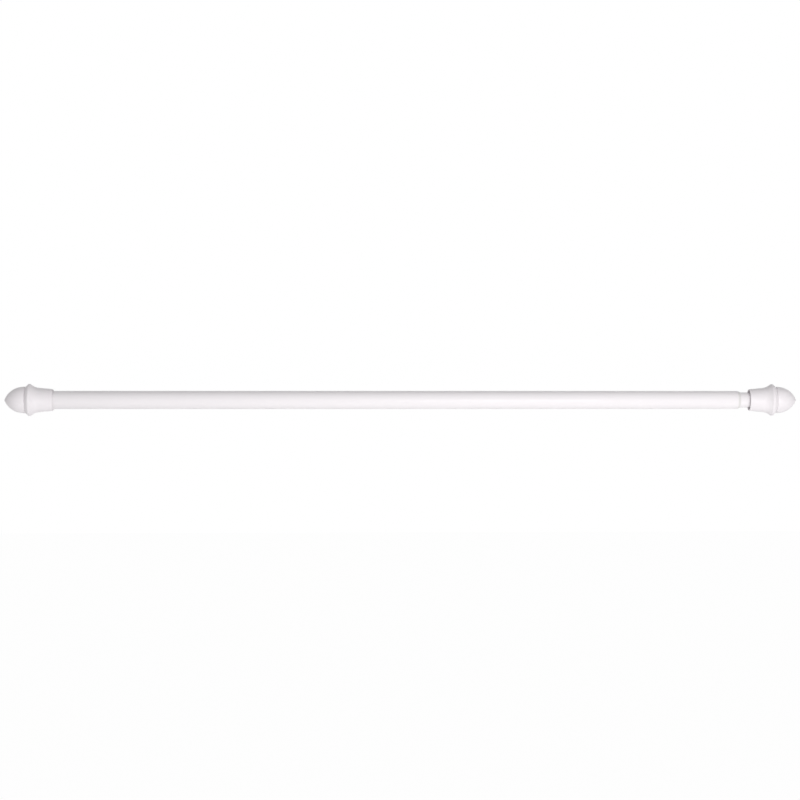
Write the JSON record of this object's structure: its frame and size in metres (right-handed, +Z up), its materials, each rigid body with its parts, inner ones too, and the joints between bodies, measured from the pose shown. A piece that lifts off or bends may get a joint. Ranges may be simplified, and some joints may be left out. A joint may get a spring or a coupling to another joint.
{
  "type": "shower curtain rod",
  "caption": "White telescopic curtain rod: a slimmer tube slides and turns in a wider one, and each end carries a flared cup with a pointed acorn finial.",
  "frame": {"origin": "on the rod's axis, half way along the outer tube", "axes": "+X along the rod, from the finial on the outer tube towards the finial on the inner tube; +Z up; the rod's front faces -Y"},
  "size_m": [0.8315, 0.0336, 0.0336],
  "materials": {
    "tube_enamel": "gloss",
    "finial_plastic": "gloss",
    "nylon": "satin"
  },
  "bodies": {
    "outer": {"outer_tube": "tube_enamel", "mouth_bush": "nylon", "left_cup": "finial_plastic", "left_acorn": "finial_plastic"},
    "glide": {"glide_ring": "nylon"},
    "inner": {"inner_tube": "tube_enamel", "right_cup": "finial_plastic", "right_acorn": "finial_plastic"}
  },
  "joints": [
    {"name": "rod_slide", "type": "slide", "parent": "outer", "child": "glide", "axis": [1, 0, 0], "range_m": [-0.0232, 0.4843]},
    {"name": "rod_turn", "type": "hinge", "parent": "glide", "child": "inner", "pos_m": [0, 0, 0], "axis": [1, 0, 0], "continuous": true}
  ]
}
